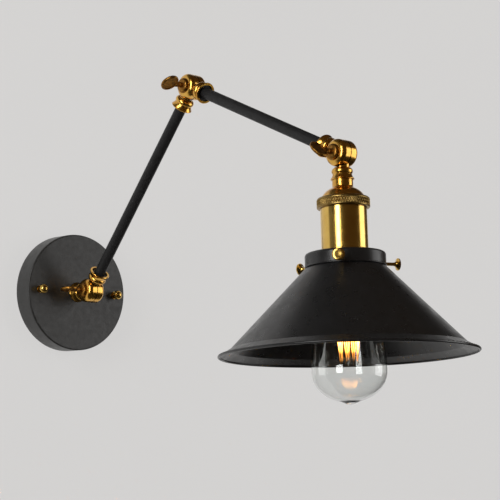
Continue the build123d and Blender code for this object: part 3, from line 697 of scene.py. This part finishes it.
@dataclass
class Studio:
    """Pale wall and floor, soft boxes and the light of the room."""

    camera: PhotoCamera = PhotoCamera()
    box_target: tuple[float, float, float] = (0.0, -0.35, 0.05)
    wall_colour: str = "#E2E1E0"
    wall_patches: str = "#DCDBDA"
    patch_scale: float = 1.3
    plaster_mm: float = 9.0
    plaster_height_mm: float = 0.3
    plaster_strength: float = 0.4
    wall_share: float = 0.8
    # Edges and fade of the painted pool of light that metal mirrors from the wall and floor, in metres.
    lit_sides: tuple[float, float] = (-0.58, 1.05)
    lit_heights: tuple[float, float] = (-0.95, 0.42)
    lit_fade: float = 0.14
    room_colour: str = "#D8DADC"
    room_strength: float = 0.62
    far_colour: str = "#F0C494"
    far_strength: float = 0.06
    floor_height: float = -1.8
    wall_gap: float = 0.0004
    reach: float = 6.0
    boxes: tuple[SoftBox, ...] = field(default_factory=lambda: (
        SoftBox("key_box", -32, 10, 1.7, 0.58, 1.6, 6.5),
        SoftBox("side_box", 95, 6, 1.6, 0.95, 1.4, 2.0),
    ))

    def backdrop_material(self) -> bpy.types.Material:
        """Painted plaster, pale to the eye; in metal it shows a painted pool of light near the lamp, dark further
        off; it keeps the lamp's shadow.

        Returns:
            A material that is clear from behind, so that the lamp's back can be seen.
        """
        made = bpy.data.materials.new("painted_plaster")
        made.use_nodes = True
        tree = made.node_tree
        tree.nodes.clear()
        where = add_node(tree, "ShaderNodeTexCoord").outputs["Object"]
        cloud = add_node(tree, "ShaderNodeTexNoise", {"Scale": self.patch_scale, "Detail": 3.0},
                         {"Vector": where})
        tones = {"data_type": "RGBA", COLOUR_A: linear(self.wall_colour), COLOUR_B: linear(self.wall_patches)}
        tone = add_node(tree, "ShaderNodeMix", tones, {"Factor": cloud.outputs["Fac"]}).outputs[MIXED_COLOUR]
        grain = add_node(tree, "ShaderNodeTexNoise", {"Scale": per_metre(self.plaster_mm), "Detail": 3.0},
                         {"Vector": where})
        rough = {"Strength": self.plaster_strength, "Distance": self.plaster_height_mm * MM}
        bump = add_node(tree, "ShaderNodeBump", rough, {"Height": grain.outputs["Fac"]})
        paint = add_node(tree, "ShaderNodeBsdfDiffuse", {}, {"Color": tone, "Normal": bump.outputs[0]})
        rays = add_node(tree, "ShaderNodeLightPath")
        # Glossy rays see the wall's glow only inside the painted pool of light.
        links = {"Value": rays.outputs["Is Glossy Ray"], "To Max": self.lit_patch(tree, where)}
        strength = add_node(tree, "ShaderNodeMapRange", {"To Min": 1.0}, links).outputs[0]
        own = add_node(tree, "ShaderNodeEmission", {}, {"Color": tone, "Strength": strength})
        seen = rays.outputs["Is Camera Ray"]
        for name in ("Is Glossy Ray", "Is Transmission Ray"):
            seen = add_node(tree, "ShaderNodeMath", {"operation": "MAXIMUM"},
                            {0: seen, 1: rays.outputs[name]}).outputs[0]
        share = add_node(tree, "ShaderNodeMath", {"operation": "MULTIPLY", 1: self.wall_share}, {0: seen})
        lit = add_node(tree, "ShaderNodeMixShader", {},
                       {0: share.outputs[0], 1: paint.outputs[0], 2: own.outputs[0]})
        clear = add_node(tree, "ShaderNodeBsdfTransparent")
        side = add_node(tree, "ShaderNodeNewGeometry").outputs["Backfacing"]
        both = add_node(tree, "ShaderNodeMixShader", {}, {0: side, 1: lit.outputs[0], 2: clear.outputs[0]})
        add_node(tree, "ShaderNodeOutputMaterial", {}, {"Surface": both.outputs[0]})
        return made

    def lit_patch(self, tree: bpy.types.NodeTree, where: bpy.types.NodeSocket) -> bpy.types.NodeSocket:
        """Painted pool of light: share of the wall's glow that metal mirrors, 1 near the lamp, fading to 0 past
        its edges.

        Args:
            tree: node tree of the backdrop.
            where: position on the backdrop, in metres.

        Returns:
            The share, as the product of a fade at each of the patch's four edges.
        """
        spot = add_node(tree, "ShaderNodeSeparateXYZ", {}, {0: where})
        glow = None
        for axis, (low, high) in {"X": self.lit_sides, "Z": self.lit_heights}.items():
            for edge, fade in ((low, -self.lit_fade), (high, self.lit_fade)):
                span = {"From Min": edge, "From Max": edge + fade, "To Min": 1.0, "To Max": 0.0}
                lit = add_node(tree, "ShaderNodeMapRange", span, {"Value": spot.outputs[axis]}).outputs[0]
                links = {0: lit} if glow is None else {0: lit, 1: glow}
                glow = add_node(tree, "ShaderNodeMath", {"operation": "MULTIPLY", 1: 1.0}, links).outputs[0]
        return glow

    def build_backdrop(self) -> None:
        """Adds the wall that the lamp hangs on and a floor far below it."""
        paint = self.backdrop_material()
        turns = {"wall": (Matrix.Rotation(math.radians(90), 4, "X"), Vector((0, self.wall_gap, 0))),
                 "floor": (Matrix.Identity(4), Vector((0, 0, self.floor_height)))}
        for name, (turn, place) in turns.items():
            mesh = bmesh.new()
            bmesh.ops.create_grid(mesh, x_segments=1, y_segments=1, size=self.reach,
                                  matrix=Matrix.Translation(place) @ turn)
            data = bpy.data.meshes.new(name)
            mesh.to_mesh(data)
            mesh.free()
            plane = bpy.data.objects.new(name, data)
            data.materials.append(paint)
            bpy.context.scene.collection.objects.link(plane)

    def build_room(self) -> None:
        """Room light: pale near the wall and dim at the far end, behind the camera."""
        world = bpy.data.worlds.new("room")
        world.use_nodes = True
        tree = world.node_tree
        tree.nodes.clear()
        towards = add_node(tree, "ShaderNodeTexCoord").outputs["Generated"]
        depth = add_node(tree, "ShaderNodeSeparateXYZ", {}, {0: towards}).outputs["Y"]
        near = add_node(tree, "ShaderNodeMapRange", {"From Min": 0.0, "From Max": 0.3}, {"Value": depth})
        rays = add_node(tree, "ShaderNodeLightPath")
        pale = add_node(tree, "ShaderNodeMath", {"operation": "MAXIMUM"},
                        {0: near.outputs[0], 1: rays.outputs["Is Camera Ray"]}).outputs[0]
        tones = {"data_type": "RGBA", COLOUR_A: linear(self.far_colour), COLOUR_B: linear(self.room_colour)}
        tone = add_node(tree, "ShaderNodeMix", tones, {"Factor": pale}).outputs[MIXED_COLOUR]
        span = {"To Min": self.far_strength, "To Max": self.room_strength}
        strength = add_node(tree, "ShaderNodeMapRange", span, {"Value": pale}).outputs[0]
        light = add_node(tree, "ShaderNodeBackground", {}, {"Color": tone, "Strength": strength})
        add_node(tree, "ShaderNodeOutputWorld", {}, {"Surface": light.outputs[0]})
        bpy.context.scene.world = world

    def build(self) -> None:
        """Builds the whole studio."""
        self.camera.build()
        for box in self.boxes:
            box.build(Vector(self.box_target), self.camera.azimuth)
        self.build_backdrop()
        self.build_room()
        bpy.context.scene.view_settings.view_transform = "Standard"


def main() -> None:
    """Builds and dresses the lamp, then the studio round it."""
    logging.basicConfig(level=logging.INFO, format="%(message)s")
    wardrobe = Wardrobe()
    wardrobe.dress_nodes()
    CouplingRing().build(wardrobe)
    bulb = Bulb()
    bulb.build_glass(wardrobe)
    bulb.build_cap(wardrobe)
    Studio().build()


if __name__ == "__main__":
    main()
